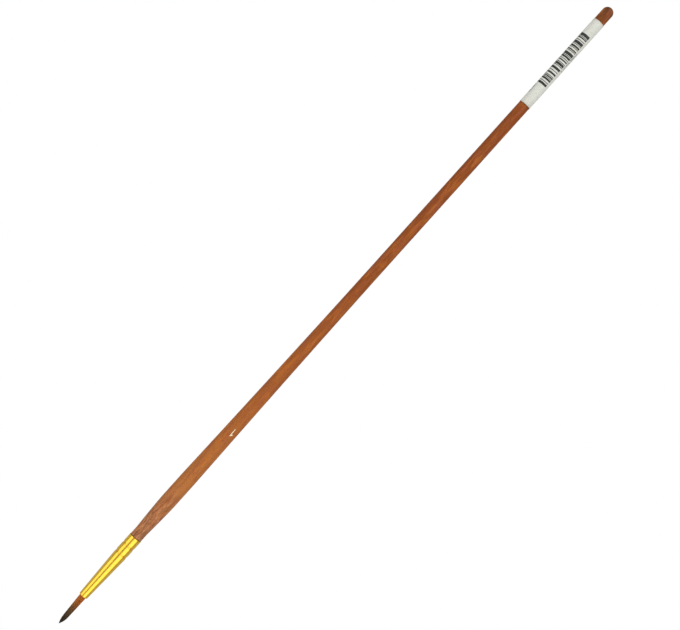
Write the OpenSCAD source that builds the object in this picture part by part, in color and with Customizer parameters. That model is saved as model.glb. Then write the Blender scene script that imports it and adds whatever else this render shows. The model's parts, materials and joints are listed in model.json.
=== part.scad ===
// Fine detail brush: a round long-handled artist's brush with a small pointed tuft, a crimped
// metal ferrule and a turned wooden handle. Millimetres.
// The brush lies along X on a surface at Z = 0, with the hair tip at -X and the handle's round
// end at +X. Distances called s run along the brush from the hair tip. Distances called d run
// along the ferrule from its mouth.

/* [Overall] */
// Length from the hair tip to the round end of the handle
overall_l = 290; // [280:1:310]

/* [Tuft] */
// Free length of the hair outside the ferrule
hair_l = 13; // [12.5:0.5:15]
// Diameter of the hair where it leaves the ferrule
hair_d = 2.62; // [2.5:0.02:2.7]
// Diameter of the hair where the point begins
belly_d = 2.08; // [1.9:0.02:2.2]
// Length of the point
point_l = 4; // [3:0.25:4.5]
// Distance from the ferrule's mouth to the first bending centre
first_bend = 1.4; // [1.3:0.1:1.6]
// Distance from one bending centre to the next
bend_pitch = 2.6; // [2.4:0.05:2.7]
// Clearance between a rounded segment end and the socket around it
socket_gap = 0.08; // [0.05:0.01:0.12]
// Half angle of the socket, which sets how far a segment can bend
socket_angle = 52; // [48:1:56]

/* [Inside the ferrule] */
// Length of the hair bundle inside the ferrule
root_l = 11; // [10:0.5:12]
// Number of turns in the thread that ties the bundle
thread_turns = 5; // [3:1:6]
// Thickness of the thread
thread_d = 0.3; // [0.24:0.02:0.32]
// Length of the resin behind the bundle
resin_l = 2.8; // [2:0.2:3]
// Thickness of the cement between the handle and the ferrule
cement_t = 0.12; // [0.1:0.01:0.16]
// Gap left at each glued face
glue_gap = 0.02; // [0.01:0.01:0.03]

/* [Ferrule] */
// Length of the ferrule
ferrule_l = 27.5; // [27.5:0.5:29]
// Outside diameter at the mouth, where the hair comes out
mouth_d = 3.34; // [3.3:0.02:3.5]
// Outside diameter at the handle end
collar_d = 4.82; // [4.7:0.02:5]
// Length of the tapered stretch behind the mouth
taper_l = 19; // [17:0.2:19]
// Wall thickness of the drawn tube
wall_t = 0.3; // [0.28:0.01:0.34]
// Number of crimped rings that grip the handle
crimp_count = 2; // [1:1:2]
// Distance from the handle end to the nearest crimp, and between the crimps
crimp_pitch = 3.8; // [3:0.1:3.8]
// Width of one crimp
crimp_w = 1.4; // [1:0.1:1.5]
// Depth of one crimp
crimp_depth = 0.14; // [0.08:0.01:0.18]

/* [Handle] */
// Diameter of the neck next to the ferrule
neck_d = 4.6; // [4.5:0.02:4.68]
// Length of the straight neck
neck_l = 3.2; // [2:0.2:4]
// Largest diameter of the handle
swell_d = 5.8; // [5.4:0.1:6.6]
// Distance from the ferrule to the full swell
swell_rise_l = 16.9; // [15:0.1:22]
// Length of the full swell
swell_l = 10.9; // [6:0.1:14]
// Diameter of the straight shank
shank_d = 4.28; // [4.2:0.02:4.6]
// Distance from the handle's round end to the place where the fall reaches the shank
shank_l = 121.7; // [100:0.1:125]
// Diameter of the handle at its round end, which the shank nears slowly from the label on
tail_d = 4.24; // [4.1:0.02:4.28]
// Length of the tenon inside the ferrule
tenon_l = 11; // [9.5:0.5:11.5]
// Length of the tenon's tapered nose
nose_l = 2.5; // [1.5:0.25:3]

/* [Label] */
// Length of the paper label around the shank
label_l = 38.8; // [30:0.2:45]
// Distance from the label to the handle's round end
label_end = 6.7; // [5:0.1:20]
// Thickness of the label
label_t = 0.08; // [0.08:0.01:0.14]

/* [Hidden] */
$fn = 64;

axis_z = swell_d / 2;
mouth_s = hair_l;
collar_s = mouth_s + ferrule_l;
bend_s = [for (i = [0:3]) mouth_s - first_bend - i * bend_pitch];

root_r = mouth_d / 2 - wall_t - 2 * glue_gap;
thread_start = root_l - 1 - thread_turns * thread_d;
resin_start = root_l - 0.6;
cement_l = tenon_l - nose_l;
nose_r = 1.3;

swell_s = collar_s + swell_rise_l;
shank_s = overall_l - shank_l;
label_s = overall_l - label_end - label_l;
straight_end_s = label_s - 1.2;
end_r = tail_d / 2;

arc_steps = 8;
groove_steps = 5;
curve_steps = 12;

wood = [0.62, 0.36, 0.22];
gold = [0.87, 0.76, 0.22];
paper = [0.85, 0.85, 0.82];
thread_colour = [0.80, 0.76, 0.66];
resin_colour = [0.72, 0.52, 0.20];
cement_colour = [0.80, 0.70, 0.48];
hair_colours = [
    [0.62, 0.34, 0.15], [0.55, 0.33, 0.15], [0.44, 0.28, 0.16], [0.33, 0.24, 0.14],
    [0.22, 0.17, 0.11]
];

// A rise from 0 to 1 that starts steeply and levels off
function ease(u, power) = 1 - pow(1 - u, power);

// Evenly spaced distances from a to b
function steps(a, b, n) = [for (i = [0:n]) a + (b - a) * i / n];

// Radius of the tuft: a slight cone, then a quick rounding to the point
function tuft_cone(s) = (belly_d + (hair_d - belly_d) * (s - point_l) / (hair_l - point_l)) / 2;
function tuft_r(s) =
    s < point_l ? belly_d / 2 * pow(1 - pow(1 - s / point_l, 2), 0.85) : tuft_cone(s);

// A quarter circle about the axis, from its widest place to its foremost place towards the tip
function round_end(s, r) =
    [for (i = [0:arc_steps]) let (a = 90 * i / arc_steps) [r * cos(a), s - r * sin(a)]];

// The hollow that fits a round end, from the axis out to the rim
function socket(s, r) =
    [for (i = [0:arc_steps]) let (a = socket_angle * i / arc_steps)
        [r * sin(a), s - r * cos(a)]];

// Depth of the crimps at a distance from the mouth
function crimp_at(d, centre) =
    abs(d - centre) < crimp_w / 2 ? crimp_depth * (1 + cos(360 * (d - centre) / crimp_w)) / 2 : 0;
function crimp_centre(i) = ferrule_l - crimp_pitch * (crimp_count - i);
function ferrule_r(d) =
    (d < taper_l ? mouth_d + (collar_d - mouth_d) * d / taper_l : collar_d) / 2
    - max([for (i = [0:crimp_count - 1]) crimp_at(d, crimp_centre(i))]);
function bore_r(d) = ferrule_r(d) - wall_t;

// The places along the ferrule where its outline changes, between two distances
function ferrule_places(from, to) = [
    from,
    if (taper_l > from && taper_l < to) taper_l,
    for (i = [0:crimp_count - 1], d = steps(-crimp_w / 2, crimp_w / 2, 2 * groove_steps))
        if (crimp_centre(i) + d > from && crimp_centre(i) + d < to) crimp_centre(i) + d,
    to
];

// Radius of the handle outside the ferrule, at a distance from the hair tip
function handle_r(s) = let (neck_s = collar_s + neck_l, fall_s = swell_s + swell_l)
    s < neck_s ? neck_d / 2
    : s < swell_s
        ? (neck_d + (swell_d - neck_d) * ease((s - neck_s) / (swell_s - neck_s), 1.3)) / 2
    : s < fall_s ? swell_d / 2
    : s < shank_s
        ? (swell_d - (swell_d - shank_d) * ease((s - fall_s) / (shank_s - fall_s), 1.7)) / 2
    : shank_d / 2;

function backwards(points) = [for (i = [len(points) - 1:-1:0]) points[i]];

// Turns an outline of [radius, s] points about the brush's own axis
module turned(points) {
    translate([-overall_l / 2, 0, axis_z]) rotate([0, 90, 0]) rotate_extrude() polygon(points);
}

// Wooden handle, with its tenon in the ferrule and a matching groove under each crimp
module handle() {
    tenon = [
        for (d = ferrule_places(ferrule_l - cement_l, ferrule_l))
            [bore_r(d) - cement_t, mouth_s + d]
    ];
    rise = steps(collar_s + neck_l, swell_s, curve_steps);
    fall = steps(swell_s + swell_l, shank_s, 2 * curve_steps);
    nose = [[0, collar_s - tenon_l], [nose_r, collar_s - tenon_l]];
    neck = [
        [bore_r(ferrule_l) - cement_t, collar_s + glue_gap], [neck_d / 2, collar_s + glue_gap]
    ];
    tail = [
        for (i = [0:arc_steps]) let (a = 90 * i / arc_steps)
            [end_r * cos(a), overall_l - end_r + end_r * sin(a)]
    ];
    color(wood) turned(concat(
        nose, tenon, neck,
        [for (s = rise) [handle_r(s), s]], [for (s = fall) [handle_r(s), s]],
        [[shank_d / 2, straight_end_s]], tail
    ));
}

// Paper label wrapped around the shank
module label() {
    inner_r = shank_d / 2 + glue_gap / 2;
    color(paper) turned([
        [inner_r, label_s], [inner_r + label_t, label_s],
        [inner_r + label_t, label_s + label_l], [inner_r, label_s + label_l]
    ]);
}

// Drawn metal tube: tapered towards the hair, crimped on the handle
module ferrule() {
    places = ferrule_places(0, ferrule_l);
    outer = [for (d = places) [ferrule_r(d), mouth_s + d]];
    inner = [for (d = places) [bore_r(d), mouth_s + d]];
    color(gold) turned(concat(outer, backwards(inner)));
}

// Cement that holds the tenon in the ferrule
module tenon_cement() {
    places = ferrule_places(ferrule_l - cement_l + glue_gap, ferrule_l - glue_gap);
    outer = [for (d = places) [bore_r(d) - glue_gap, mouth_s + d]];
    inner = [for (d = places) [bore_r(d) - cement_t + glue_gap, mouth_s + d]];
    color(cement_colour) turned(concat(outer, backwards(inner)));
}

// Resin that locks the butt of the hair bundle in the ferrule
module resin_plug() {
    butt_r = root_r + glue_gap;
    resin_end = resin_start + resin_l;
    color(resin_colour) turned([
        [0, mouth_s + root_l + glue_gap], [butt_r, mouth_s + root_l + glue_gap],
        [butt_r, mouth_s + resin_start], [bore_r(resin_start) - glue_gap, mouth_s + resin_start],
        [bore_r(resin_end) - glue_gap, mouth_s + resin_end], [0, mouth_s + resin_end]
    ]);
}

// Thread wound side by side around the bundle
module thread_tie() {
    inner_r = root_r + glue_gap;
    ridges = [
        for (turn = [0:thread_turns - 1], i = [0:arc_steps])
            if (turn == 0 || i > 0) let (a = 180 * i / arc_steps)
                [
                    inner_r + (1 + sin(a)) * thread_d / 2,
                    mouth_s + thread_start + thread_d * (turn + (1 - cos(a)) / 2)
                ]
    ];
    thread_end = thread_start + thread_turns * thread_d;
    color(thread_colour) turned(concat(
        [[inner_r, mouth_s + thread_start]], ridges, [[inner_r, mouth_s + thread_end]]
    ));
}

// The part of the hair bundle that the ferrule holds, with the short stub outside it
module hair_root() {
    s = bend_s[0];
    color(hair_colours[0]) turned(concat(
        [
            [0, mouth_s + root_l], [root_r, mouth_s + root_l], [root_r, mouth_s + 0.5],
            [hair_d / 2, mouth_s]
        ],
        round_end(s, tuft_r(s))
    ));
}

// One bending stretch of the tuft: a socket around the stretch before it, a round end after
module hair_stretch(i) {
    hollow_r = tuft_r(bend_s[i]) + socket_gap;
    rim_s = bend_s[i] - hollow_r * cos(socket_angle);
    far_s = bend_s[i + 1];
    color(hair_colours[i + 1]) turned(concat(
        socket(bend_s[i], hollow_r), [[tuft_r(rim_s), rim_s]], round_end(far_s, tuft_r(far_s))
    ));
}
module hair_heel() { hair_stretch(0); }
module hair_lower_belly() { hair_stretch(1); }
module hair_upper_belly() { hair_stretch(2); }

// The last stretch, which closes to the point
module hair_point() {
    hollow_r = tuft_r(bend_s[3]) + socket_gap;
    rim_s = bend_s[3] - hollow_r * cos(socket_angle);
    color(hair_colours[4]) turned(concat(
        socket(bend_s[3], hollow_r), [for (s = steps(rim_s, 0, curve_steps)) [tuft_r(s), s]]
    ));
}

handle();
label();
ferrule();
tenon_cement();
resin_plug();
thread_tie();
hair_root();
hair_heel();
hair_lower_belly();
hair_upper_belly();
hair_point();
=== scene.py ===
import json
import math
import bpy
import bmesh
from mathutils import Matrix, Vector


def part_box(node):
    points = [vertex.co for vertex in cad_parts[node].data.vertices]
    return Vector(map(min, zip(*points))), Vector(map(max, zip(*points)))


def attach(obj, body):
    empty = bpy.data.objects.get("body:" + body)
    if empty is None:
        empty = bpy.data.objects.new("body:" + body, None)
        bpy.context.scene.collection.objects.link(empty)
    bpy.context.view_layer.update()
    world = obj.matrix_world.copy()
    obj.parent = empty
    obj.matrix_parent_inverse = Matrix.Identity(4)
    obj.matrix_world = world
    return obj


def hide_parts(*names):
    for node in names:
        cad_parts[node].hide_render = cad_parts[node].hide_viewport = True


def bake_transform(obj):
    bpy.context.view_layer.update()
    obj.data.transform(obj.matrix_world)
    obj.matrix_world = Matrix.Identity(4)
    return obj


# Fine detail brush. It lies along X with the hair tip at -X, sizes are metres.
# Angles round the brush start at the top and go towards +Y.
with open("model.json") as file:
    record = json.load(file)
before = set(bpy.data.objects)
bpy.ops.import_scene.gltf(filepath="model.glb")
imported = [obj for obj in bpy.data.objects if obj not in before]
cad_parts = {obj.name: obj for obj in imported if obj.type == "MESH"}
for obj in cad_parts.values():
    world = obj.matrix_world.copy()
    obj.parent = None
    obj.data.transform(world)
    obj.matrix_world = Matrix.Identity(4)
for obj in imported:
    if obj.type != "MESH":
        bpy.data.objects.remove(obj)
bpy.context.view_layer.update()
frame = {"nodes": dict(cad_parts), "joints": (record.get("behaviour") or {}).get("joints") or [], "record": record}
nodes = frame["nodes"]
joints = frame["joints"]
bodyNodes = frame["record"]["behaviour"]["bodies"]

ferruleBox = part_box("ferrule")
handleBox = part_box("handle")
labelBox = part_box("label")
axisZ = (ferruleBox[0].z + ferruleBox[1].z) / 2
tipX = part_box("hair_point")[0].x
mouthX = ferruleBox[0].x
collarX = ferruleBox[1].x
endX = handleBox[1].x
freeHair = mouthX - tipX


# camera straight above, turned so that the brush leans across the frame
view = {"lean": 48.04, "height": 0.4969, "lens": 75, "right": 0.00178, "up": 0.00029}
lean = math.radians(view["lean"])
cameraData = bpy.data.cameras.new("camera")
cameraData.lens = view["lens"]
cameraData.clip_start = 0.01
camera = bpy.data.objects.new("camera", cameraData)
camera.location = (
    view["right"] * math.cos(lean) + view["up"] * math.sin(lean),
    view["up"] * math.cos(lean) - view["right"] * math.sin(lean),
    axisZ + view["height"]
)
camera.rotation_euler = (0, 0, -lean)
bpy.context.scene.collection.objects.link(camera)
bpy.context.scene.camera = camera


# --- small helpers

def tone(red, green, blue):
    # screen colour 0 to 255, as the linear colour that sockets take
    linear = []
    for value in (red, green, blue):
        c = value / 255
        linear.append(c / 12.92 if c <= 0.04045 else ((c + 0.055) / 1.055) ** 2.4)
    return (*linear, 1)


def addNode(tree, kind, inputs=None, **settings):
    node = tree.nodes.new(kind)
    for name, value in settings.items():
        setattr(node, name, value)
    for key, value in (inputs or {}).items():
        if isinstance(value, bpy.types.NodeSocket):
            tree.links.new(value, node.inputs[key])
        else:
            node.inputs[key].default_value = value
    return node


def calc(tree, operation, *values, clamp=False):
    inputs = {i: value for i, value in enumerate(values)}
    node = addNode(tree, "ShaderNodeMath", inputs, operation=operation, use_clamp=clamp)
    return node.outputs[0]


def blendColour(tree, factor, first, second, mode="MIX"):
    node = tree.nodes.new("ShaderNodeMix")
    node.data_type = "RGBA"
    node.blend_type = mode
    for key, value in (("Factor_Float", factor), ("A_Color", first), ("B_Color", second)):
        socket = next(s for s in node.inputs if s.identifier == key)
        if isinstance(value, bpy.types.NodeSocket):
            tree.links.new(value, socket)
        else:
            socket.default_value = value
    return next(s for s in node.outputs if s.identifier == "Result_Color")


def spread(tree, value, low, high, newLow=0.0, newHigh=1.0):
    node = addNode(tree, "ShaderNodeMapRange", {
        "Value": value, "From Min": low, "From Max": high, "To Min": newLow, "To Max": newHigh
    })
    return node.outputs["Result"]


def ramp(tree, factor, stops):
    node = addNode(tree, "ShaderNodeValToRGB", {"Fac": factor})
    edge = node.color_ramp.elements
    while len(edge) < len(stops):
        edge.new(0.5)
    for i, (place, colour) in enumerate(stops):
        edge[i].position = place
        edge[i].color = colour
    return node.outputs["Color"]


# --- shader groups that several finishes share

def newShaderGroup(name, inputs, outputs):
    group = bpy.data.node_groups.new(name, "ShaderNodeTree")
    for label, kind, value in inputs:
        socket = group.interface.new_socket(label, in_out="INPUT", socket_type=kind)
        if value is not None:
            socket.default_value = value
    for label, kind in outputs:
        group.interface.new_socket(label, in_out="OUTPUT", socket_type=kind)
    return group, addNode(group, "NodeGroupInput").outputs, addNode(group, "NodeGroupOutput")


def makeStreaks():
    # soft streaks along the brush: grain, drawn lines, strands
    group, given, result = newShaderGroup(
        "streaksAlong",
        [
            ("Vector", "NodeSocketVector", None), ("Length", "NodeSocketFloat", 0.01),
            ("Width", "NodeSocketFloat", 0.0003), ("Contrast", "NodeSocketFloat", 1.0),
            ("Wander", "NodeSocketFloat", 0.2)
        ],
        [("Mask", "NodeSocketFloat")]
    )
    along = calc(group, "DIVIDE", 1.0, given["Length"])
    across = calc(group, "DIVIDE", 1.0, given["Width"])
    scale = addNode(group, "ShaderNodeCombineXYZ", {"X": along, "Y": across, "Z": across})
    stretched = addNode(
        group, "ShaderNodeVectorMath", {0: given["Vector"], 1: scale.outputs[0]},
        operation="MULTIPLY"
    )
    noise = addNode(group, "ShaderNodeTexNoise", {
        "Vector": stretched.outputs[0], "Scale": 1.0, "Detail": 3.0, "Roughness": 0.6,
        "Distortion": given["Wander"]
    })
    centred = calc(group, "SUBTRACT", noise.outputs["Fac"], 0.5)
    stronger = calc(group, "MULTIPLY", centred, calc(group, "MULTIPLY", given["Contrast"], 2.0))
    mask = calc(group, "ADD", stronger, 0.5, clamp=True)
    group.links.new(mask, result.inputs["Mask"])
    return group


def makeSpeckle():
    # small round spots: dust, pores in cement, paper fibre clumps
    group, given, result = newShaderGroup(
        "speckle",
        [
            ("Vector", "NodeSocketVector", None), ("Size", "NodeSocketFloat", 0.0005),
            ("Share", "NodeSocketFloat", 0.3), ("Softness", "NodeSocketFloat", 0.1)
        ],
        [("Mask", "NodeSocketFloat"), ("Cloud", "NodeSocketFloat")]
    )
    noise = addNode(group, "ShaderNodeTexNoise", {
        "Vector": given["Vector"], "Scale": calc(group, "DIVIDE", 1.0, given["Size"]),
        "Detail": 4.0, "Roughness": 0.62
    })
    edge = calc(group, "SUBTRACT", 0.75, calc(group, "MULTIPLY", given["Share"], 0.5))
    mask = spread(group, noise.outputs["Fac"], edge, calc(group, "ADD", edge, given["Softness"]))
    group.links.new(mask, result.inputs["Mask"])
    group.links.new(noise.outputs["Fac"], result.inputs["Cloud"])
    return group


streaksAlong = makeStreaks()
speckle = makeSpeckle()


def startFinish(name):
    material = bpy.data.materials.new(name)
    material.use_nodes = True
    tree = material.node_tree
    shader = next(n for n in tree.nodes if n.type == "BSDF_PRINCIPLED")
    where = addNode(tree, "ShaderNodeTexCoord").outputs["Object"]
    return material, tree, shader, where


def groupOutput(tree, group, output, **values):
    inputs = {key.replace("_", " "): value for key, value in values.items()}
    return addNode(tree, "ShaderNodeGroup", inputs, node_tree=group).outputs[output]


def setFinish(tree, shader, colour, roughness, height=None, depth=0.0, **fixed):
    tree.links.new(colour, shader.inputs["Base Color"])
    tree.links.new(roughness, shader.inputs["Roughness"])
    if height is not None:
        bump = addNode(tree, "ShaderNodeBump", {"Height": height, "Distance": depth})
        tree.links.new(bump.outputs["Normal"], shader.inputs["Normal"])
    for key, value in fixed.items():
        shader.inputs[key.replace("_", " ")].default_value = value


def attribute(tree, name):
    return addNode(tree, "ShaderNodeAttribute", attribute_name=name).outputs["Fac"]


# --- finishes

woodLook = {
    "neck": tone(167, 113, 77), "shoulder": tone(168, 107, 62), "swell": tone(168, 102, 44),
    "middle": tone(153, 84, 30), "shank": tone(133, 66, 17), "tail": tone(129, 63, 15),
    "end": tone(108, 58, 18), "rim": tone(70, 44, 22), "fleck": tone(84, 58, 34),
    "pale": tone(206, 150, 106), "pore": tone(98, 48, 20), "orange": tone(190, 108, 30),
    "rose": tone(146, 76, 48), "labelEdgeShade": tone(44, 34, 18), "fleckReach": 0.024
}


def stainedWood():
    material, tree, shader, where = startFinish("stainedWood")
    look = woodLook
    x = addNode(tree, "ShaderNodeSeparateXYZ", {"Vector": where}).outputs["X"]
    along = spread(tree, x, collarX, endX)
    stain = ramp(tree, along, [
        (0.0, look["neck"]), (0.05, look["shoulder"]), (0.12, look["swell"]),
        (0.26, look["middle"]), (0.52, look["shank"]), (0.9, look["tail"]),
        (0.986, look["end"]), (0.998, look["rim"])
    ])
    patches = groupOutput(tree, streaksAlong, "Mask", Vector=where, Length=0.009, Width=0.0013,
                          Contrast=2.2, Wander=0.5)
    stain = blendColour(tree, spread(tree, patches, 0.45, 1.0, 0.0, 0.4), stain, look["orange"])
    rose = groupOutput(tree, streaksAlong, "Mask", Vector=where, Length=0.006, Width=0.001,
                       Contrast=2.2, Wander=0.6)
    stain = blendColour(tree, spread(tree, rose, 0.5, 1.0, 0.0, 0.5), stain, look["rose"])
    grain = groupOutput(tree, streaksAlong, "Mask", Vector=where, Length=0.009, Width=0.00025,
                        Contrast=1.3, Wander=0.1)
    darker = spread(tree, grain, 0.0, 0.55, 0.22, 0.0)
    stain = blendColour(tree, darker, stain, look["pore"])
    pores = groupOutput(tree, streaksAlong, "Mask", Vector=where, Length=0.0011, Width=0.00012,
                        Contrast=1.6, Wander=0.1)
    pores = spread(tree, pores, 0.78, 0.98)
    stain = blendColour(tree, calc(tree, "MULTIPLY", pores, 0.4), stain, look["pore"])
    flecks = groupOutput(tree, streaksAlong, "Mask", Vector=where, Length=0.0034, Width=0.0006,
                         Contrast=2.4, Wander=0.5)
    dashes = groupOutput(tree, streaksAlong, "Mask", Vector=where, Length=0.0022, Width=0.0002,
                         Contrast=2.2, Wander=0.15)
    fade = spread(tree, x, collarX + 0.009, collarX + look["fleckReach"], 1.0, 0.0)
    dark = calc(tree, "MULTIPLY", spread(tree, flecks, 0.54, 0.95, 0.0, 0.5),
                spread(tree, dashes, 0.1, 0.8, 0.55, 1.2))
    dark = calc(tree, "MULTIPLY", dark, fade)
    stain = blendColour(tree, dark, stain, look["fleck"])
    pale = calc(tree, "MULTIPLY", spread(tree, flecks, 0.42, 0.05, 0.0, 0.42), fade)
    stain = blendColour(tree, pale, stain, look["pale"])
    lines = calc(tree, "MULTIPLY", spread(tree, dashes, 0.7, 0.95, 0.0, 0.4), fade)
    stain = blendColour(tree, lines, stain, look["pore"])
    # painted shade: a dark ring on the wood just before the label's start edge
    labelEdgeShade = calc(tree, "MULTIPLY", spread(tree, x, labelBox[0].x - 0.0007, labelBox[0].x), 0.6)
    stain = blendColour(tree, calc(tree, "MULTIPLY", labelEdgeShade, calc(
        tree, "LESS_THAN", x, labelBox[0].x + 0.0005)), stain, look["labelEdgeShade"])
    # painted shade: the rings at the ferrule's collar carry tint, darkening the wood in the joint gap
    collarJointShade = attribute(tree, "tint")
    stain = blendColour(tree, calc(tree, "MULTIPLY", collarJointShade, 0.75), stain, tone(46, 26, 16))
    rough = calc(tree, "ADD", 0.36, calc(tree, "MULTIPLY", grain, 0.12))
    relief = calc(tree, "SUBTRACT", grain, calc(tree, "MULTIPLY", pores, 0.8))
    setFinish(tree, shader, stain, rough, relief, 0.000008, Coat_Weight=0.05, Coat_Roughness=0.25,
              Specular_IOR_Level=0.13)
    return material


def drawnBrass():
    material, tree, shader, where = startFinish("drawnBrass")
    lines = groupOutput(tree, streaksAlong, "Mask", Vector=where, Length=0.02, Width=0.00009,
                        Contrast=1.2, Wander=0.0)
    cloud = groupOutput(tree, speckle, "Cloud", Vector=where, Size=0.003)
    colour = blendColour(tree, lines, tone(236, 194, 60), tone(250, 208, 86))
    colour = blendColour(tree, calc(tree, "MULTIPLY", cloud, 0.25), colour, tone(232, 176, 44))
    # painted shade: deeper orange in the crimp grooves, at the collar edge and inside the tube, from the rings'
    # tint
    grooveShade = attribute(tree, "tint")
    colour = blendColour(tree, calc(tree, "MULTIPLY", grooveShade, 0.4), colour, tone(214, 136, 30))
    spots = groupOutput(tree, speckle, "Mask", Vector=where, Size=0.0004, Share=0.32,
                        Softness=0.08)
    colour = blendColour(tree, calc(tree, "MULTIPLY", spots, 0.2), colour, tone(170, 132, 44))
    rough = calc(tree, "ADD", 0.2, calc(tree, "MULTIPLY", lines, 0.1))
    rough = calc(tree, "ADD", rough, calc(tree, "MULTIPLY", spots, 0.12))
    setFinish(tree, shader, colour, rough, lines, 0.000003, Metallic=1.0)
    return material


def labelStock():
    material, tree, shader, where = startFinish("labelStock")
    fibre = groupOutput(tree, speckle, "Cloud", Vector=where, Size=0.0006)
    colour = blendColour(tree, fibre, tone(195, 196, 186), tone(204, 204, 196))
    grime = groupOutput(tree, streaksAlong, "Mask", Vector=where, Length=0.006, Width=0.002,
                        Contrast=1.6, Wander=0.5)
    grime = spread(tree, grime, 0.6, 1.0, 0.0, 0.35)
    colour = blendColour(tree, grime, colour, tone(184, 183, 166))
    # painted shade along the label's cut edges and the lapped seam, from the tint attribute
    colour = blendColour(tree, calc(tree, "MULTIPLY", attribute(tree, "tint"), 0.5), colour,
                         tone(176, 168, 150))
    rough = calc(tree, "ADD", 0.5, calc(tree, "MULTIPLY", fibre, 0.16))
    setFinish(tree, shader, colour, rough, fibre, 0.000012, Specular_IOR_Level=0.4,
              Sheen_Weight=0.5, Sheen_Roughness=0.4)
    return material


def printedInk(name, dark, worn, share):
    material, tree, shader, where = startFinish(name)
    cloud = groupOutput(tree, speckle, "Mask", Vector=where, Size=0.0008, Share=share,
                        Softness=0.2)
    colour = blendColour(tree, cloud, dark, worn)
    rough = calc(tree, "ADD", 0.42, calc(tree, "MULTIPLY", cloud, 0.15))
    setFinish(tree, shader, colour, rough, cloud, 0.000002)
    return material


def sableHair():
    material, tree, shader, where = startFinish("sableHair")
    along = attribute(tree, "along")
    shade = attribute(tree, "shade")
    shifted = calc(tree, "ADD", along, calc(tree, "MULTIPLY", calc(tree, "SUBTRACT", shade, 0.5),
                                            0.12))
    colour = ramp(tree, shifted, [
        (0.0, tone(52, 42, 24)), (0.22, tone(58, 45, 22)), (0.42, tone(88, 62, 30)),
        (0.6, tone(121, 77, 34)), (0.78, tone(172, 100, 34)), (1.0, tone(206, 112, 30))
    ])
    tint = spread(tree, shade, 0.0, 1.0, 0.7, 1.25)
    brightness = addNode(tree, "ShaderNodeCombineColor", {"Red": tint, "Green": tint, "Blue": tint})
    colour = blendColour(tree, 0.8, colour, brightness.outputs[0], "MULTIPLY")
    sheen = groupOutput(tree, streaksAlong, "Mask", Vector=where, Length=0.004, Width=0.00012,
                        Contrast=1.2, Wander=0.1)
    rough = calc(tree, "ADD", 0.34, calc(tree, "MULTIPLY", sheen, 0.16))
    setFinish(tree, shader, colour, rough, Specular_IOR_Level=0.25)
    return material


def waxedThread():
    material, tree, shader, where = startFinish("waxedThread")
    cloud = groupOutput(tree, speckle, "Cloud", Vector=where, Size=0.0003)
    twist = addNode(tree, "ShaderNodeTexWave", {
        "Vector": where, "Scale": 2600.0, "Distortion": 1.5, "Detail": 1.0
    }, bands_direction="DIAGONAL").outputs["Fac"]
    colour = blendColour(tree, cloud, tone(190, 178, 150), tone(222, 214, 190))
    colour = blendColour(tree, calc(tree, "MULTIPLY", twist, 0.3), colour, tone(168, 154, 124))
    rough = calc(tree, "ADD", 0.55, calc(tree, "MULTIPLY", cloud, 0.2))
    setFinish(tree, shader, colour, rough, twist, 0.00001)
    return material


def castResin():
    material, tree, shader, where = startFinish("castResin")
    cloud = groupOutput(tree, speckle, "Cloud", Vector=where, Size=0.0012)
    bubbles = groupOutput(tree, speckle, "Mask", Vector=where, Size=0.00025, Share=0.4)
    colour = blendColour(tree, cloud, tone(166, 112, 42), tone(206, 152, 66))
    colour = blendColour(tree, bubbles, colour, tone(226, 190, 120))
    rough = calc(tree, "ADD", 0.12, calc(tree, "MULTIPLY", bubbles, 0.3))
    setFinish(tree, shader, colour, rough, bubbles, 0.00001)
    return material


def setCement():
    material, tree, shader, where = startFinish("setCement")
    cloud = groupOutput(tree, speckle, "Cloud", Vector=where, Size=0.0009)
    pits = groupOutput(tree, speckle, "Mask", Vector=where, Size=0.0002, Share=0.45)
    colour = blendColour(tree, cloud, tone(190, 166, 116), tone(218, 198, 150))
    colour = blendColour(tree, calc(tree, "MULTIPLY", pits, 0.5), colour, tone(140, 116, 76))
    rough = calc(tree, "ADD", 0.6, calc(tree, "MULTIPLY", cloud, 0.2))
    setFinish(tree, shader, colour, rough, pits, 0.00001)
    return material


finish = {
    "wood": stainedWood(), "brass": drawnBrass(), "label": labelStock(), "hair": sableHair(),
    "thread": waxedThread(), "resin": castResin(), "cement": setCement(),
    "ink": printedInk("labelInk", tone(18, 18, 18), tone(62, 62, 61), 0.35),
    "numeral": printedInk("numeralInk", tone(232, 222, 194), tone(206, 176, 138), 0.5)
}
print("finishes:", len(finish))


# --- geometry trees

def newShapeTree(name, inputs):
    tree = bpy.data.node_groups.new(name, "GeometryNodeTree")
    tree.interface.new_socket("Geometry", in_out="INPUT", socket_type="NodeSocketGeometry")
    tree.interface.new_socket("Geometry", in_out="OUTPUT", socket_type="NodeSocketGeometry")
    for label, kind, value in inputs:
        socket = tree.interface.new_socket(label, in_out="INPUT", socket_type=kind)
        if value is not None:
            socket.default_value = value
    return tree, addNode(tree, "NodeGroupInput").outputs


def endShapeTree(tree, geometry, material):
    smooth = addNode(tree, "GeometryNodeSetShadeSmooth", {"Geometry": geometry})
    real = addNode(tree, "GeometryNodeRealizeInstances", {"Geometry": smooth.outputs[0]})
    painted = addNode(tree, "GeometryNodeSetMaterial",
                      {"Geometry": real.outputs[0], "Material": material})
    addNode(tree, "NodeGroupOutput", {"Geometry": painted.outputs[0]})


def keepValue(tree, geometry, name, value, domain="POINT"):
    return addNode(tree, "GeometryNodeStoreNamedAttribute",
                   {"Geometry": geometry, "Name": name, "Value": value},
                   data_type="FLOAT", domain=domain).outputs[0]


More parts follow.
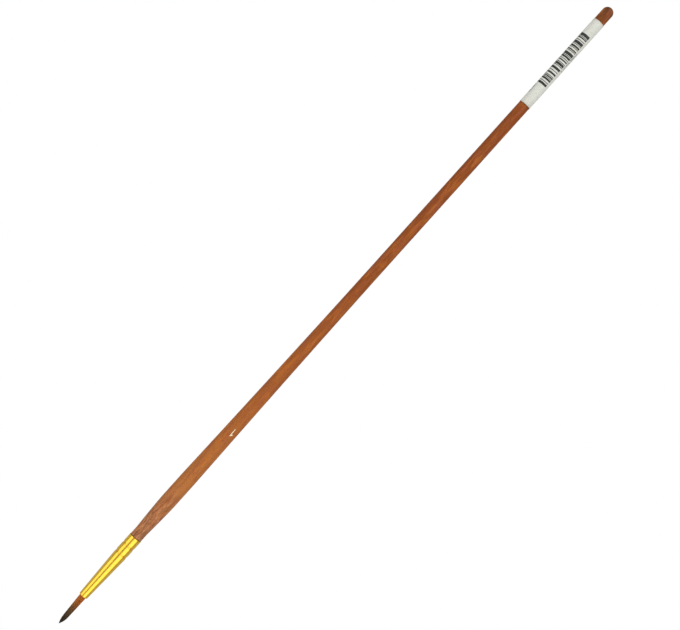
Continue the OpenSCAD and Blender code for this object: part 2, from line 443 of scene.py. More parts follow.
def grow(name, tree, values, mesh=None):
    # runs a tree on an object, sets its inputs, and returns the result as a plain mesh object
    maker = bpy.data.objects.new(name + "Maker", mesh or bpy.data.meshes.new(name + "Maker"))
    bpy.context.scene.collection.objects.link(maker)
    modifier = maker.modifiers.new("shape", "NODES")
    modifier.node_group = tree
    sockets = {s.name: s.identifier for s in tree.interface.items_tree if s.in_out == "INPUT"}
    for label, value in values.items():
        modifier[sockets[label]] = value
    bpy.context.view_layer.update()
    evaluated = maker.evaluated_get(bpy.context.evaluated_depsgraph_get())
    made = bpy.data.meshes.new_from_object(evaluated)
    made.name = name
    piece = bpy.data.objects.new(name, made)
    bpy.context.scene.collection.objects.link(piece)
    bpy.data.objects.remove(maker)
    return piece


def tidyNormals(piece):
    work = bmesh.new()
    work.from_mesh(piece.data)
    bmesh.ops.recalc_face_normals(work, faces=work.faces)
    work.to_mesh(piece.data)
    work.free()


# turns an outline, whose points hold x and radius, about the brush's axis
def turnedTree():
    tree, given = newShapeTree("turnedOnAxis", [
        ("Sides", "NodeSocketInt", 64), ("Axis Height", "NodeSocketFloat", 0.003),
        ("Material", "NodeSocketMaterial", None)
    ])
    outline = given["Geometry"]
    count = addNode(tree, "GeometryNodeAttributeDomainSize", {"Geometry": outline}).outputs[0]
    columns = calc(tree, "ADD", given["Sides"], 1.0)
    grid = addNode(tree, "GeometryNodeMeshGrid", {"Vertices X": count, "Vertices Y": columns})
    index = addNode(tree, "GeometryNodeInputIndex").outputs[0]
    ring = calc(tree, "FLOOR", calc(tree, "DIVIDE", calc(tree, "ADD", index, 0.5), columns))
    step = calc(tree, "SUBTRACT", index, calc(tree, "MULTIPLY", ring, columns))
    place = addNode(tree, "GeometryNodeInputPosition").outputs[0]
    sampled = addNode(tree, "GeometryNodeSampleIndex",
                      {"Geometry": outline, "Index": ring}, data_type="FLOAT_VECTOR")
    tree.links.new(place, sampled.inputs["Value"])
    tint = addNode(tree, "GeometryNodeInputNamedAttribute", {"Name": "tint"}, data_type="FLOAT")
    tinted = addNode(tree, "GeometryNodeSampleIndex", {
        "Geometry": outline, "Value": tint.outputs[0], "Index": ring
    }, data_type="FLOAT")
    point = addNode(tree, "ShaderNodeSeparateXYZ", {"Vector": sampled.outputs[0]})
    angle = calc(tree, "MULTIPLY", calc(tree, "DIVIDE", step, given["Sides"]), math.tau)
    y = calc(tree, "MULTIPLY", point.outputs["Z"], calc(tree, "SINE", angle))
    z = calc(tree, "MULTIPLY", point.outputs["Z"], calc(tree, "COSINE", angle))
    z = calc(tree, "ADD", z, given["Axis Height"])
    target = addNode(tree, "ShaderNodeCombineXYZ", {"X": point.outputs["X"], "Y": y, "Z": z})
    # the ring's own values are stored before the grid moves
    stored = keepValue(tree, grid.outputs["Mesh"], "tint", tinted.outputs[0])
    moved = addNode(tree, "GeometryNodeSetPosition",
                    {"Geometry": stored, "Position": target.outputs[0]})
    merged = addNode(tree, "GeometryNodeMergeByDistance",
                     {"Geometry": moved.outputs[0], "Distance": 0.0000008})
    endShapeTree(tree, merged.outputs[0], given["Material"])
    return tree


turnedOnAxis = turnedTree()


def turn(name, outline, sides, material):
    # outline: [x, radius, tint] for each ring; tint is the amount of painted shade
    mesh = bpy.data.meshes.new(name + "Outline")
    mesh.from_pydata([(x, 0, radius) for x, radius, tint in outline],
                     [(i, i + 1) for i in range(len(outline) - 1)], [])
    values = mesh.attributes.new("tint", "FLOAT", "POINT")
    values.data.foreach_set("value", [tint for x, radius, tint in outline])
    piece = grow(name, turnedOnAxis,
                 {"Sides": sides, "Axis Height": axisZ, "Material": material}, mesh)
    tidyNormals(piece)
    return piece


def outlineOf(node, pick=max):
    # the node's own outline: the outermost or innermost radius at each x
    found = {}
    for v in nodes[node].data.vertices:
        radius = math.hypot(v.co.y, v.co.z - axisZ)
        x = round(v.co.x, 7)
        found[x] = pick(found.get(x, radius), radius)
    return sorted(found.items())


def tubeOutlines(node):
    # the outer and inner face of a tube; a ring with one radius belongs to the nearer face
    outer = outlineOf(node, max)
    inner = outlineOf(node, min)
    both = [(x, r, inner[i][1]) for i, (x, r) in enumerate(outer) if r - inner[i][1] > 0.0001]
    middle = [(x, (r + q) / 2) for x, r, q in both]
    outer = [(x, r) for x, r in outer if r > outlineAt(middle, x)]
    inner = [(x, r) for x, r in inner if r < outlineAt(middle, x)]
    return outer, inner


def smoothed(points, step):
    # a soft curve through the points, with a ring about every step
    made = []
    for i in range(len(points) - 1):
        (x1, r1), (x2, r2) = points[i], points[i + 1]
        slopes = []
        for j in (i, i + 1):
            before = points[max(j - 1, 0)]
            after = points[min(j + 1, len(points) - 1)]
            slopes.append((after[1] - before[1]) / (after[0] - before[0]))
        width = x2 - x1
        count = max(1, round(width / step))
        for k in range(count):
            t = k / count
            made.append((
                x1 + width * t,
                (2 * t ** 3 - 3 * t ** 2 + 1) * r1 + (t ** 3 - 2 * t ** 2 + t) * width * slopes[0]
                + (3 * t ** 2 - 2 * t ** 3) * r2 + (t ** 3 - t ** 2) * width * slopes[1]
            ))
    made.append(points[-1])
    return made


# --- handle: turned wood, its tenon hidden in the ferrule

handleMake = {
    "sides": 96, "ringStep": 0.0009, "jointShade": 0.00035, "endSteps": 18, "near": 0.0001,
    "neckStart": 0.0004, "edgeDeep": 0.00005, "edgeLong": 0.00008
}


def buildHandle():
    make = handleMake
    near = make["near"]
    points = outlineOf("handle")
    tenon = [p for p in points if p[0] < collarX]
    rim = min(x for x, radius in points if x > collarX - near)
    endRadius = outlineAt(points, labelBox[1].x)
    bare = [p for p in points if rim + near < p[0] < endX - endRadius - near]
    neck = bare[0][1]
    domeX = endX - endRadius
    outside = smoothed([(rim + make["neckStart"], neck)] + bare + [(domeX, endRadius)],
                       make["ringStep"])
    outline = [(tenon[0][0], 0, 0)] + [(x, radius, 0) for x, radius in tenon]
    # tint 1 at the collar, fading over jointShade: painted shade in the gap under the ferrule's edge
    outline += [(rim, tenon[-1][1], 1), (rim, neck - make["edgeDeep"], 1),
                (rim + make["edgeLong"], neck, 1)]
    for x, radius in outside:
        outline.append((x, radius, max(0, 1 - (x - rim) / make["jointShade"])))
    for i in range(1, make["endSteps"] + 1):
        a = math.pi / 2 * i / make["endSteps"]
        outline.append((domeX + endRadius * math.sin(a), endRadius * math.cos(a), 0))
    piece = turn("handle_turned", outline, make["sides"], finish["wood"])
    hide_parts("handle")
    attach(piece, "brush")
    return outside


def outlineAt(points, x):
    for (x1, r1), (x2, r2) in zip(points, points[1:]):
        if x1 <= x <= x2:
            return r1 + (r2 - r1) * (x - x1) / max(x2 - x1, 1e-9)
    return points[-1][1]


handleOutline = buildHandle()
print("handle turned:", len(handleOutline), "rings outside the ferrule")


# --- ferrule: drawn tube with a rounded lip and two crimped rings

ferruleMake = {"sides": 128, "ringStep": 0.00035, "lipSteps": 6, "edge": 0.00005,
               "crimpedFrom": 0.009, "groovesFrom": 0.0088}


def buildFerrule():
    make = ferruleMake
    outer, inner = tubeOutlines("ferrule")
    outside = smoothed(outer, make["ringStep"])
    inside = smoothed(inner, make["ringStep"])
    straight = outlineAt(outer, collarX)
    deepest = max(straight - r for x, r in outer if x > collarX - make["crimpedFrom"])
    wall = (outer[0][1] - inner[0][1]) / 2
    mid = outer[0][1] - wall

    # tint for the crimp grooves: painted shade, stronger where the crimp is deeper
    def grooveShade(x, radius):
        if x < collarX - make["groovesFrom"]:
            return 0
        return max(0, min(1, (straight - radius) / deepest)) ** 1.5

    lip = []
    for i in range(make["lipSteps"] + 1):
        a = math.pi * i / make["lipSteps"]
        lip.append((mouthX + wall - wall * math.sin(a), mid - wall * math.cos(a), 0))
    outline = lip
    outline += [(x, r, grooveShade(x, r)) for x, r in outside
                if mouthX + wall < x < collarX - make["edge"]]
    # the collar edge and the inside of the tube carry painted shade too
    outline += [(collarX - make["edge"], straight, 0.2), (collarX, straight - make["edge"], 0.8)]
    outline += [(collarX, inner[-1][1], 1)]
    outline += [(x, r, 0.6) for x, r in reversed(inside) if mouthX + wall < x < collarX]
    outline.append(lip[0])
    piece = turn("ferrule_tube", outline, make["sides"], finish["brass"])
    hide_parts("ferrule")
    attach(piece, "brush")


buildFerrule()
print("ferrule drawn")


# --- tuft: single hairs from one tree, cut into a stretch for each bend

tuftMake = {
    "hairs": 900, "seed": 7, "thickness": 0.000086, "pointLength": 0.004, "fullness": 0.92,
    "tipLean": 0.0002, "sag": -0.00026, "rings": 10, "bendZone": 0.00125, "overlap": 0.0001
}


def tuftTree():
    tree, given = newShapeTree("hairTuft", [
        ("Hairs", "NodeSocketInt", 100), ("Seed", "NodeSocketInt", 0),
        ("Rings", "NodeSocketInt", 10), ("From", "NodeSocketFloat", 0.013),
        ("To", "NodeSocketFloat", 0.0), ("Thickness", "NodeSocketFloat", 0.0001),
        ("Mouth Radius", "NodeSocketFloat", 0.0013), ("Belly Radius", "NodeSocketFloat", 0.001),
        ("Held Radius", "NodeSocketFloat", 0.0014), ("Free Length", "NodeSocketFloat", 0.013),
        ("Point Length", "NodeSocketFloat", 0.004), ("Fullness", "NodeSocketFloat", 0.85),
        ("Tip X", "NodeSocketFloat", 0.0), ("Tip Lean", "NodeSocketFloat", 0.0),
        ("Sag", "NodeSocketFloat", 0.0), ("Axis Height", "NodeSocketFloat", 0.003),
        ("Material", "NodeSocketMaterial", None)
    ])
    roots = addNode(tree, "GeometryNodeMeshLine", {"Count": given["Hairs"]})
    roots.inputs["Offset"].default_value = (0, 0, 0)
    caught = tree.nodes.new("GeometryNodeCaptureAttribute")
    caught.capture_items.new("INT", "hair")
    tree.links.new(roots.outputs[0], caught.inputs["Geometry"])
    tree.links.new(addNode(tree, "GeometryNodeInputIndex").outputs[0], caught.inputs[1])
    strand = addNode(tree, "GeometryNodeCurvePrimitiveLine", {"End": (1, 0, 0)})
    strand = addNode(tree, "GeometryNodeResampleCurve",
                     {"Curve": strand.outputs[0], "Count": given["Rings"]})
    strands = addNode(tree, "GeometryNodeInstanceOnPoints",
                      {"Points": caught.outputs["Geometry"], "Instance": strand.outputs[0]})
    strands = addNode(tree, "GeometryNodeRealizeInstances", {"Geometry": strands.outputs[0]})
    hair = caught.outputs[1]

    def chance(step):
        return addNode(tree, "FunctionNodeRandomValue", {
            "ID": hair, "Seed": calc(tree, "ADD", given["Seed"], float(step))
        }, data_type="FLOAT").outputs[1]

    # hairs stand like seeds in a sunflower, so that no gaps show
    share = calc(tree, "SQRT", calc(tree, "DIVIDE", calc(tree, "ADD", hair, 0.5), given["Hairs"]))
    loose = calc(tree, "MULTIPLY", calc(tree, "SUBTRACT", chance(1), 0.5), 0.03)
    share = calc(tree, "MINIMUM", calc(tree, "MAXIMUM", calc(tree, "ADD", share, loose), 0.0), 1.0)
    goldenAngle = 2.399963
    angle = calc(tree, "MULTIPLY", hair, goldenAngle)
    # some hairs stop short of the tip
    early = calc(tree, "POWER", chance(2), 2.4)
    outer = calc(tree, "ADD", 0.3, calc(tree, "MULTIPLY", share, 0.5))
    early = calc(tree, "MULTIPLY", early, outer)
    ending = calc(tree, "MULTIPLY", early, given["Point Length"])
    t = addNode(tree, "GeometryNodeSplineParameter").outputs["Factor"]
    reach = calc(tree, "SUBTRACT", calc(tree, "MAXIMUM", given["To"], ending), given["From"])
    s = calc(tree, "ADD", given["From"], calc(tree, "MULTIPLY", reach, t))
    u = calc(tree, "DIVIDE", s, given["Point Length"], clamp=True)
    left = calc(tree, "SUBTRACT", 1.0, u)
    left = calc(tree, "MULTIPLY", left, left)
    closing = calc(tree, "POWER", calc(tree, "SUBTRACT", 1.0, left), given["Fullness"])
    above = calc(tree, "MAXIMUM", calc(tree, "SUBTRACT", s, given["Point Length"]), 0.0)
    span = calc(tree, "SUBTRACT", given["Free Length"], given["Point Length"])
    widening = calc(tree, "SUBTRACT", given["Mouth Radius"], given["Belly Radius"])
    cone = calc(tree, "MULTIPLY", calc(tree, "DIVIDE", above, span), widening)
    cone = calc(tree, "ADD", cone, given["Belly Radius"])
    bundle = calc(tree, "MINIMUM", calc(tree, "MULTIPLY", cone, closing), given["Held Radius"])
    # each hair thins to its own tip
    taper = calc(tree, "DIVIDE", calc(tree, "SUBTRACT", s, ending),
                 calc(tree, "MULTIPLY", given["Point Length"], 0.6), clamp=True)
    taper = calc(tree, "ADD", 0.1, calc(tree, "MULTIPLY", calc(tree, "POWER", taper, 0.7), 0.9))
    size = calc(tree, "MULTIPLY", chance(3), 0.35)
    size = calc(tree, "MULTIPLY", given["Thickness"], calc(tree, "ADD", size, 0.8))
    half = calc(tree, "MULTIPLY", calc(tree, "MULTIPLY", size, taper), 0.5)
    inside = calc(tree, "MAXIMUM", calc(tree, "SUBTRACT", bundle, half), 0.0)
    radius = calc(tree, "MULTIPLY", inside, share)
    free = calc(tree, "SUBTRACT", 1.0, calc(tree, "DIVIDE", s, given["Free Length"], clamp=True))
    drift = calc(tree, "MULTIPLY", calc(tree, "SUBTRACT", chance(4), 0.5), 0.5)
    angle = calc(tree, "ADD", angle, calc(tree, "MULTIPLY", drift, free))
    side = calc(tree, "MULTIPLY", left, given["Tip Lean"])
    side = calc(tree, "ADD", side, calc(tree, "MULTIPLY", free, given["Sag"]))
    y = calc(tree, "ADD", calc(tree, "MULTIPLY", radius, calc(tree, "SINE", angle)), side)
    z = calc(tree, "MULTIPLY", radius, calc(tree, "COSINE", angle))
    z = calc(tree, "ADD", z, given["Axis Height"])
    x = calc(tree, "ADD", given["Tip X"], s)
    place = addNode(tree, "ShaderNodeCombineXYZ", {"X": x, "Y": y, "Z": z})
    kept = keepValue(tree, strands.outputs[0], "along",
                     calc(tree, "DIVIDE", s, given["Free Length"]))
    kept = keepValue(tree, kept, "shade", chance(5))
    kept = keepValue(tree, kept, "halfWidth", half)
    laid = addNode(tree, "GeometryNodeSetPosition",
                   {"Geometry": kept, "Position": place.outputs[0]})
    upright = addNode(tree, "GeometryNodeSetCurveNormal", {"Curve": laid.outputs[0]})
    upright.mode = "Z_UP"
    ring = addNode(tree, "GeometryNodeCurvePrimitiveCircle", {"Resolution": 3, "Radius": 1.0})
    width = addNode(tree, "GeometryNodeInputNamedAttribute", {"Name": "halfWidth"},
                    data_type="FLOAT")
    tubes = addNode(tree, "GeometryNodeCurveToMesh", {
        "Curve": upright.outputs[0], "Profile Curve": ring.outputs[0],
        "Scale": width.outputs[0], "Fill Caps": True
    })
    endShapeTree(tree, tubes.outputs[0], given["Material"])
    return tree


hairTuft = tuftTree()


def hairStretch(name, start, end, rings):
    # start and end are distances from the tip
    make = tuftMake
    root = outlineOf("hair_root")
    belly = outlineOf("hair_point")
    values = {
        "Hairs": make["hairs"], "Seed": make["seed"], "Rings": rings, "From": start, "To": end,
        "Thickness": make["thickness"], "Mouth Radius": outlineAt(root, mouthX),
        "Belly Radius": outlineAt(belly, tipX + make["pointLength"]),
        "Held Radius": root[-1][1], "Free Length": freeHair,
        "Point Length": make["pointLength"], "Fullness": make["fullness"], "Tip X": tipX,
        "Tip Lean": make["tipLean"], "Sag": make["sag"], "Axis Height": axisZ,
        "Material": finish["hair"]
    }
    piece = grow(name, hairTuft, values)
    return piece


def buildTuft():
    make = tuftMake
    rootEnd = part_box("hair_root")[1].x - tipX
    pivots = [joint["pos_m"][0] - tipX for joint in joints]
    cuts = [freeHair - make["overlap"]]
    cuts += [(a + b) / 2 for a, b in zip(pivots, pivots[1:])]
    cuts.append(0.0)
    held = hairStretch("hair_in_ferrule", rootEnd, cuts[0], 5)
    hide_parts(*[n for n in bodyNodes["brush"] if n.startswith("hair")])
    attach(held, "brush")
    for i, joint in enumerate(joints):
        child = joint["child"]
        piece = hairStretch(child + "_hair", cuts[i], cuts[i + 1], make["rings"])
        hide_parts(*bodyNodes[child])
        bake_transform(piece)
        print("hair stretch", piece.name, len(piece.data.polygons), "faces")


buildTuft()


# --- thread wound round the bundle inside the ferrule

threadMake = {"turns": 5, "steps": 40, "sides": 10, "squash": 0.98}


def windingTree():
    tree, given = newShapeTree("threadWinding", [
        ("Turns", "NodeSocketFloat", 5.0), ("Steps", "NodeSocketInt", 40),
        ("Sides", "NodeSocketInt", 8), ("Start X", "NodeSocketFloat", 0.0),
        ("Length", "NodeSocketFloat", 0.001), ("Coil Radius", "NodeSocketFloat", 0.001),
        ("Thread", "NodeSocketFloat", 0.0003), ("Axis Height", "NodeSocketFloat", 0.003),
        ("Material", "NodeSocketMaterial", None)
    ])
    coil = addNode(tree, "GeometryNodeCurveSpiral", {
        "Resolution": given["Steps"], "Rotations": given["Turns"],
        "Start Radius": given["Coil Radius"], "End Radius": given["Coil Radius"],
        "Height": given["Length"]
    })
    corner = addNode(tree, "ShaderNodeCombineXYZ",
                     {"X": given["Start X"], "Z": given["Axis Height"]})
    turned = addNode(tree, "GeometryNodeTransform", {
        "Geometry": coil.outputs[0], "Translation": corner.outputs[0],
        "Rotation": (0, math.pi / 2, 0)
    })
    ring = addNode(tree, "GeometryNodeCurvePrimitiveCircle", {
        "Resolution": given["Sides"], "Radius": calc(tree, "MULTIPLY", given["Thread"], 0.5)
    })
    tube = addNode(tree, "GeometryNodeCurveToMesh", {
        "Curve": turned.outputs[0], "Profile Curve": ring.outputs[0], "Fill Caps": True
    })
    endShapeTree(tree, tube.outputs[0], given["Material"])
    return tree


def buildThread():
    low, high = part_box("thread_tie")
    thread = (high.x - low.x) / threadMake["turns"]
    piece = grow("thread_winding", windingTree(), {
        "Turns": threadMake["turns"] - 1.0, "Steps": threadMake["steps"],
        "Sides": threadMake["sides"], "Start X": low.x + thread / 2,
        "Length": high.x - low.x - thread, "Coil Radius": high.z - axisZ - thread / 2,
        "Thread": thread * threadMake["squash"], "Axis Height": axisZ,
        "Material": finish["thread"]
    })
    tidyNormals(piece)
    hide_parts("thread_tie")
    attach(piece, "brush")


buildThread()
for node, look in (("resin_plug", "resin"), ("tenon_cement", "cement")):
    nodes[node].data.materials.clear()
    nodes[node].data.materials.append(finish[look])
print("thread, resin and cement ready")


# --- paper label: one wrap of stock that laps over its own start

labelMake = {
    "stock": 0.00009, "seamAngle": 205, "lap": 34, "lift": 0.00002, "step": 3, "slices": 44,
    "liftFrom": 330, "slack": 1.05, "sharpAngle": 40
}


def roundBrush(x, radius, angle):
    return (x, radius * math.sin(angle), axisZ + radius * math.cos(angle))


def paperRadius(turnedBy):
    # inner radius of the stock after turning that many degrees from its start
    make = labelMake
    inner = labelBox[1].z - axisZ - make["stock"]
    rise = max(0, min(1, (turnedBy - make["liftFrom"]) / (360 - make["liftFrom"])))
    rise = rise * rise * (3 - 2 * rise)
    flap = max(0, (turnedBy - 360) / make["lap"])
    return inner + rise * make["stock"] * make["slack"] + flap ** 3 * make["lift"]


def buildLabel():
    make = labelMake
    low, high = labelBox
    turns = [a * make["step"] for a in range((360 + make["lap"]) // make["step"] + 1)]
    section = [(a, paperRadius(a) + make["stock"]) for a in turns]
    section += [(a, paperRadius(a)) for a in reversed(turns)]
    verts = []
    tints = []
    for i in range(make["slices"] + 1):
        x = low.x + (high.x - low.x) * i / make["slices"]
        fromEdge = min(i, make["slices"] - i)
        for a, radius in section:
            angle = math.radians(make["seamAngle"] - a)
            verts.append(roundBrush(x, radius, angle))
            # tint 1 on the end slices and at the seam's start and end: painted shade at the paper's edges
            tints.append(1.0 if fromEdge == 0 or a in (turns[0], turns[-1]) else 0.0)
    size = len(section)
    faces = []
    for i in range(make["slices"]):
        for j in range(size):
            k = (j + 1) % size
            faces.append((i * size + j, i * size + k, (i + 1) * size + k, (i + 1) * size + j))
    half = size // 2
    for start in (0, make["slices"] * size):
        for j in range(half - 1):
            faces.append((start + j, start + j + 1, start + size - 2 - j, start + size - 1 - j))
    mesh = bpy.data.meshes.new("paper_label")
    mesh.from_pydata(verts, [], faces)
    mesh.attributes.new("tint", "FLOAT", "POINT").data.foreach_set("value", tints)
    mesh.materials.append(finish["label"])
    piece = bpy.data.objects.new("paper_label", mesh)
    bpy.context.scene.collection.objects.link(piece)
    tidyNormals(piece)
    mesh.shade_smooth()
    mesh.set_sharp_from_angle(angle=math.radians(make["sharpAngle"]))
    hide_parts("label")
    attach(piece, "brush")


buildLabel()
print("label wrapped")


# --- printing: bars, their digits, and the size numeral on the handle

printMake = {
    "bars": 27, "seed": 12, "barsStart": 0.009, "barsLength": 0.0239, "barTop": 76,
    "barFoot": -37, "ink": 0.000012, "digits": "0 123456 789012", "digitHeight": 0.00085,
    "digitAngle": -54, "stem": 0.08, "flag": 0.16, "drop": 0.2, "numeralHeight": 0.0031,
    "numeralFromMouth": 0.0778, "numeralAngle": -21, "small": "012345",
    "smallHeight": 0.0009, "smallPlace": 0.0062, "smallAngle": 64
}


def barsTree():
    tree, given = newShapeTree("printedBars", [
        ("Bars", "NodeSocketInt", 30), ("Seed", "NodeSocketInt", 0),
        ("Start X", "NodeSocketFloat", 0.0), ("Length", "NodeSocketFloat", 0.025),
        ("Top Angle", "NodeSocketFloat", 1.5), ("Foot Angle", "NodeSocketFloat", -0.5),
        ("Radius", "NodeSocketFloat", 0.002), ("Ink", "NodeSocketFloat", 0.00001),
        ("Axis Height", "NodeSocketFloat", 0.003), ("Material", "NodeSocketMaterial", None)
    ])
    index = addNode(tree, "GeometryNodeInputIndex").outputs[0]

    def width(step, least, most):
        node = addNode(tree, "FunctionNodeRandomValue", {
            "ID": index, "Seed": calc(tree, "ADD", given["Seed"], float(step))
        }, data_type="INT")
        node.inputs[4].default_value = least
        node.inputs[5].default_value = most
        return node.outputs[2]

    # every second bar is a broad one
    broad = calc(tree, "SUBTRACT", 1.0, calc(tree, "MODULO", index, 2.0))
    bar = calc(tree, "ADD", 1.0, calc(tree, "MULTIPLY", broad, width(1, 1, 4)))
    gap = width(2, 1, 3)
    running = addNode(tree, "GeometryNodeAccumulateField",
                      {"Value": calc(tree, "ADD", bar, gap)}, data_type="FLOAT")
    unit = calc(tree, "DIVIDE", given["Length"], running.outputs["Total"])
    middle = calc(tree, "ADD", running.outputs["Trailing"], calc(tree, "MULTIPLY", bar, 0.5))
    x = calc(tree, "ADD", given["Start X"], calc(tree, "MULTIPLY", middle, unit))
    line = addNode(tree, "GeometryNodeMeshLine", {"Count": given["Bars"], "Offset": (0, 0, 0)})
    place = addNode(tree, "ShaderNodeCombineXYZ", {"X": x})
    size = calc(tree, "MULTIPLY", calc(tree, "ADD", bar, 0.18), unit)  # ink spreads a little
    scale = addNode(tree, "ShaderNodeCombineXYZ", {"X": size, "Y": 1.0, "Z": given["Ink"]})
    # the widths are read on the line's own points, before they move
    sized = addNode(tree, "GeometryNodeStoreNamedAttribute", {
        "Geometry": line.outputs[0], "Name": "barScale", "Value": scale.outputs[0]
    }, data_type="FLOAT_VECTOR")
    spots = addNode(tree, "GeometryNodeSetPosition",
                    {"Geometry": sized.outputs[0], "Position": place.outputs[0]})
    slab = addNode(tree, "GeometryNodeMeshCube", {
        "Size": (1, 1, 1), "Vertices X": 2, "Vertices Y": 22, "Vertices Z": 2
    })
    read = addNode(tree, "GeometryNodeInputNamedAttribute", {"Name": "barScale"},
                   data_type="FLOAT_VECTOR")
    bars = addNode(tree, "GeometryNodeInstanceOnPoints", {
        "Points": spots.outputs[0], "Instance": slab.outputs[0], "Scale": read.outputs[0]
    })
    bars = addNode(tree, "GeometryNodeRealizeInstances", {"Geometry": bars.outputs[0]})
    at = addNode(tree, "ShaderNodeSeparateXYZ",
                 {"Vector": addNode(tree, "GeometryNodeInputPosition").outputs[0]})
    angle = spread(tree, at.outputs["Y"], -0.5, 0.5, given["Foot Angle"], given["Top Angle"])
    radius = calc(tree, "ADD", given["Radius"], at.outputs["Z"])
    y = calc(tree, "MULTIPLY", radius, calc(tree, "SINE", angle))
    z = calc(tree, "MULTIPLY", radius, calc(tree, "COSINE", angle))
    z = calc(tree, "ADD", z, given["Axis Height"])
    target = addNode(tree, "ShaderNodeCombineXYZ", {"X": at.outputs["X"], "Y": y, "Z": z})
    bent = addNode(tree, "GeometryNodeSetPosition",
                   {"Geometry": bars.outputs[0], "Position": target.outputs[0]})
    endShapeTree(tree, bent.outputs[0], given["Material"])
    return tree


def wordsCurve(name, words):
    curve = bpy.data.curves.new(name, "FONT")
    curve.body = words
    curve.resolution_u = 4
    return curve


def figureOne(name):
    # a figure one: thin stem, heavy flag
    stem, flag, drop = printMake["stem"], printMake["flag"], printMake["drop"]
    corners = [(-stem / 2, 0), (stem / 2, 0), (stem / 2, 1), (-stem / 2, 1),
               (-stem / 2 - flag, 1 - drop), (-stem / 2 - flag, 1 - 1.7 * drop),
               (-stem / 2, 1 - 1.2 * drop)]
    curve = bpy.data.curves.new(name, "CURVE")
    curve.dimensions = "2D"
    curve.fill_mode = "BOTH"
    spline = curve.splines.new("POLY")
    spline.points.add(len(corners) - 1)
    for point, (x, y) in zip(spline.points, corners):
        point.co = (x, y, 0, 1)
    spline.use_cyclic_u = True
    return curve


def flatMesh(name, curve, height):
    # flat letters of that height, centred, cut finely enough to bend
    curve.extrude = 0.5
    letters = bpy.data.objects.new(name + "Text", curve)
    bpy.context.scene.collection.objects.link(letters)
    bpy.context.view_layer.update()
    evaluated = letters.evaluated_get(bpy.context.evaluated_depsgraph_get())
    mesh = bpy.data.meshes.new_from_object(evaluated)
    bpy.data.objects.remove(letters)
    work = bmesh.new()
    work.from_mesh(mesh)
    bmesh.ops.remove_doubles(work, verts=work.verts, dist=0.0005)
    low = min(v.co.y for v in work.verts)
    high = max(v.co.y for v in work.verts)
    left = min(v.co.x for v in work.verts)
    right = max(v.co.x for v in work.verts)
    scale = height / (high - low)
    for v in work.verts:
        v.co.x = (v.co.x - (left + right) / 2) * scale
        v.co.y = (v.co.y - (low + high) / 2) * scale
    bmesh.ops.triangulate(work, faces=work.faces)
    longest = height / 5
    for _ in range(3):
        cut = [e for e in work.edges if e.calc_length() > longest and e.calc_length() < 0.2]
        if cut:
            bmesh.ops.subdivide_edges(work, edges=cut, cuts=1)
            bmesh.ops.triangulate(work, faces=work.faces)
    work.to_mesh(mesh)
    work.free()
    return mesh


def layOn(name, mesh, x, angle, radiusAt, thickness, material, standing):
    # bends flat letters round the brush; standing letters have their top towards the hair
    for v in mesh.vertices:
        across, along = (v.co.x, -v.co.y) if standing else (v.co.y, v.co.x)
        radius = radiusAt(x + along)
        turned = math.radians(angle) + across / radius
        v.co = roundBrush(x + along, radius + v.co.z * thickness, turned)
    mesh.materials.clear()
    mesh.materials.append(material)
    piece = bpy.data.objects.new(name, mesh)
    bpy.context.scene.collection.objects.link(piece)
    tidyNormals(piece)
    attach(piece, "brush")


def buildPrinting():
    make = printMake
    face = labelBox[1].z - axisZ
    start = labelBox[0].x + make["barsStart"]
    bars = grow("label_bars", barsTree(), {
        "Bars": make["bars"], "Seed": make["seed"], "Start X": start,
        "Length": make["barsLength"], "Top Angle": math.radians(make["barTop"]),
        "Foot Angle": math.radians(make["barFoot"]), "Radius": face, "Ink": make["ink"],
        "Axis Height": axisZ, "Material": finish["ink"]
    })
    tidyNormals(bars)
    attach(bars, "brush")
    digits = flatMesh("label_digits", wordsCurve("digitLetters", make["digits"]),
                      make["digitHeight"])
    layOn("label_digits", digits, start + make["barsLength"] / 2, make["digitAngle"],
          lambda x: face, make["ink"], finish["ink"], False)
    small = flatMesh("label_number", wordsCurve("smallLetters", make["small"]),
                     make["smallHeight"])
    layOn("label_number", small, labelBox[0].x + make["smallPlace"], make["smallAngle"],
          lambda x: face, make["ink"], finish["ink"], False)
    numeral = flatMesh("size_numeral", figureOne("oneOutline"), make["numeralHeight"])
    layOn("size_numeral", numeral, mouthX + make["numeralFromMouth"], make["numeralAngle"],
          lambda x: outlineAt(handleOutline, x), make["ink"] * 2, finish["numeral"], True)


buildPrinting()
print("printing laid on")


# --- pale floor and soft lights

stageMake = {
    "floor": 3.0, "keyLean": 34.0, "keySize": (3.0, 1.15), "keyGlow": 1.4,
    "fillLean": -48.0, "fillSize": (3.0, 0.85), "fillGlow": 1.2, "away": 1.0, "room": 0.36,
    "bounce": 0.5, "endLean": 72.0, "endSize": (1.1, 0.6), "endGlow": 0.55
}


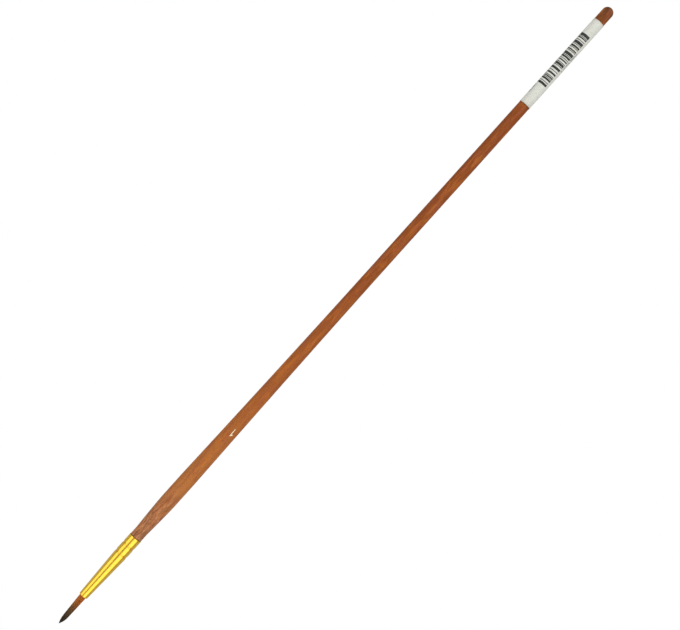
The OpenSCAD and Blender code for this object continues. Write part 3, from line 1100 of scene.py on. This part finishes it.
def softPanel(name, leanDegrees, turnDegrees, size, glow):
    # leans from straight up towards -Y, then turns about Z
    data = bpy.data.lights.new(name, "AREA")
    data.shape = "RECTANGLE"
    data.size, data.size_y = size
    data.energy = glow * math.pi * size[0] * size[1]
    lamp = bpy.data.objects.new(name, data)
    lean = math.radians(leanDegrees)
    turned = math.radians(turnDegrees)
    away = stageMake["away"]
    lamp.location = (away * math.sin(lean) * math.sin(turned),
                     -away * math.sin(lean) * math.cos(turned), away * math.cos(lean))
    lamp.rotation_euler = (lean, 0, turned)
    lamp.visible_camera = False
    bpy.context.scene.collection.objects.link(lamp)


def cameraOnly(tree, seen, other):
    ray = addNode(tree, "ShaderNodeLightPath").outputs["Is Camera Ray"]
    return addNode(tree, "ShaderNodeMixShader", {0: ray, 1: other, 2: seen}).outputs[0]


def buildStage():
    make = stageMake
    reach = make["floor"]
    mesh = bpy.data.meshes.new("floor")
    mesh.from_pydata([(-reach, -reach, 0), (reach, -reach, 0), (reach, reach, 0),
                      (-reach, reach, 0)], [], [(0, 1, 2, 3)])
    floor = bpy.data.objects.new("floor", mesh)
    bpy.context.scene.collection.objects.link(floor)
    floorPaint = bpy.data.materials.new("floorPaint")
    floorPaint.use_nodes = True
    tree = floorPaint.node_tree
    tree.nodes.clear()
    white = addNode(tree, "ShaderNodeEmission", {"Color": (1, 1, 1, 1)}).outputs[0]
    matt = addNode(tree, "ShaderNodeBsdfDiffuse",
                   {"Color": (make["bounce"],) * 3 + (1,)}).outputs[0]
    addNode(tree, "ShaderNodeOutputMaterial", {"Surface": cameraOnly(tree, white, matt)})
    mesh.materials.append(floorPaint)
    world = bpy.data.worlds.new("room")
    world.use_nodes = True
    bpy.context.scene.world = world
    tree = world.node_tree
    tree.nodes.clear()
    white = addNode(tree, "ShaderNodeBackground", {"Color": (1, 1, 1, 1)}).outputs[0]
    dim = addNode(tree, "ShaderNodeBackground",
                  {"Color": (make["room"],) * 3 + (1,)}).outputs[0]
    addNode(tree, "ShaderNodeOutputWorld", {"Surface": cameraOnly(tree, white, dim)})
    softPanel("keyPanel", make["keyLean"], 0, make["keySize"], make["keyGlow"])
    softPanel("fillPanel", make["fillLean"], 0, make["fillSize"], make["fillGlow"])
    softPanel("hairEndPanel", make["endLean"], 270, make["endSize"], make["endGlow"])
    softPanel("roundEndPanel", make["endLean"], 90, make["endSize"], make["endGlow"])
    bpy.context.scene.view_settings.view_transform = "Standard"


buildStage()
print("stage set")
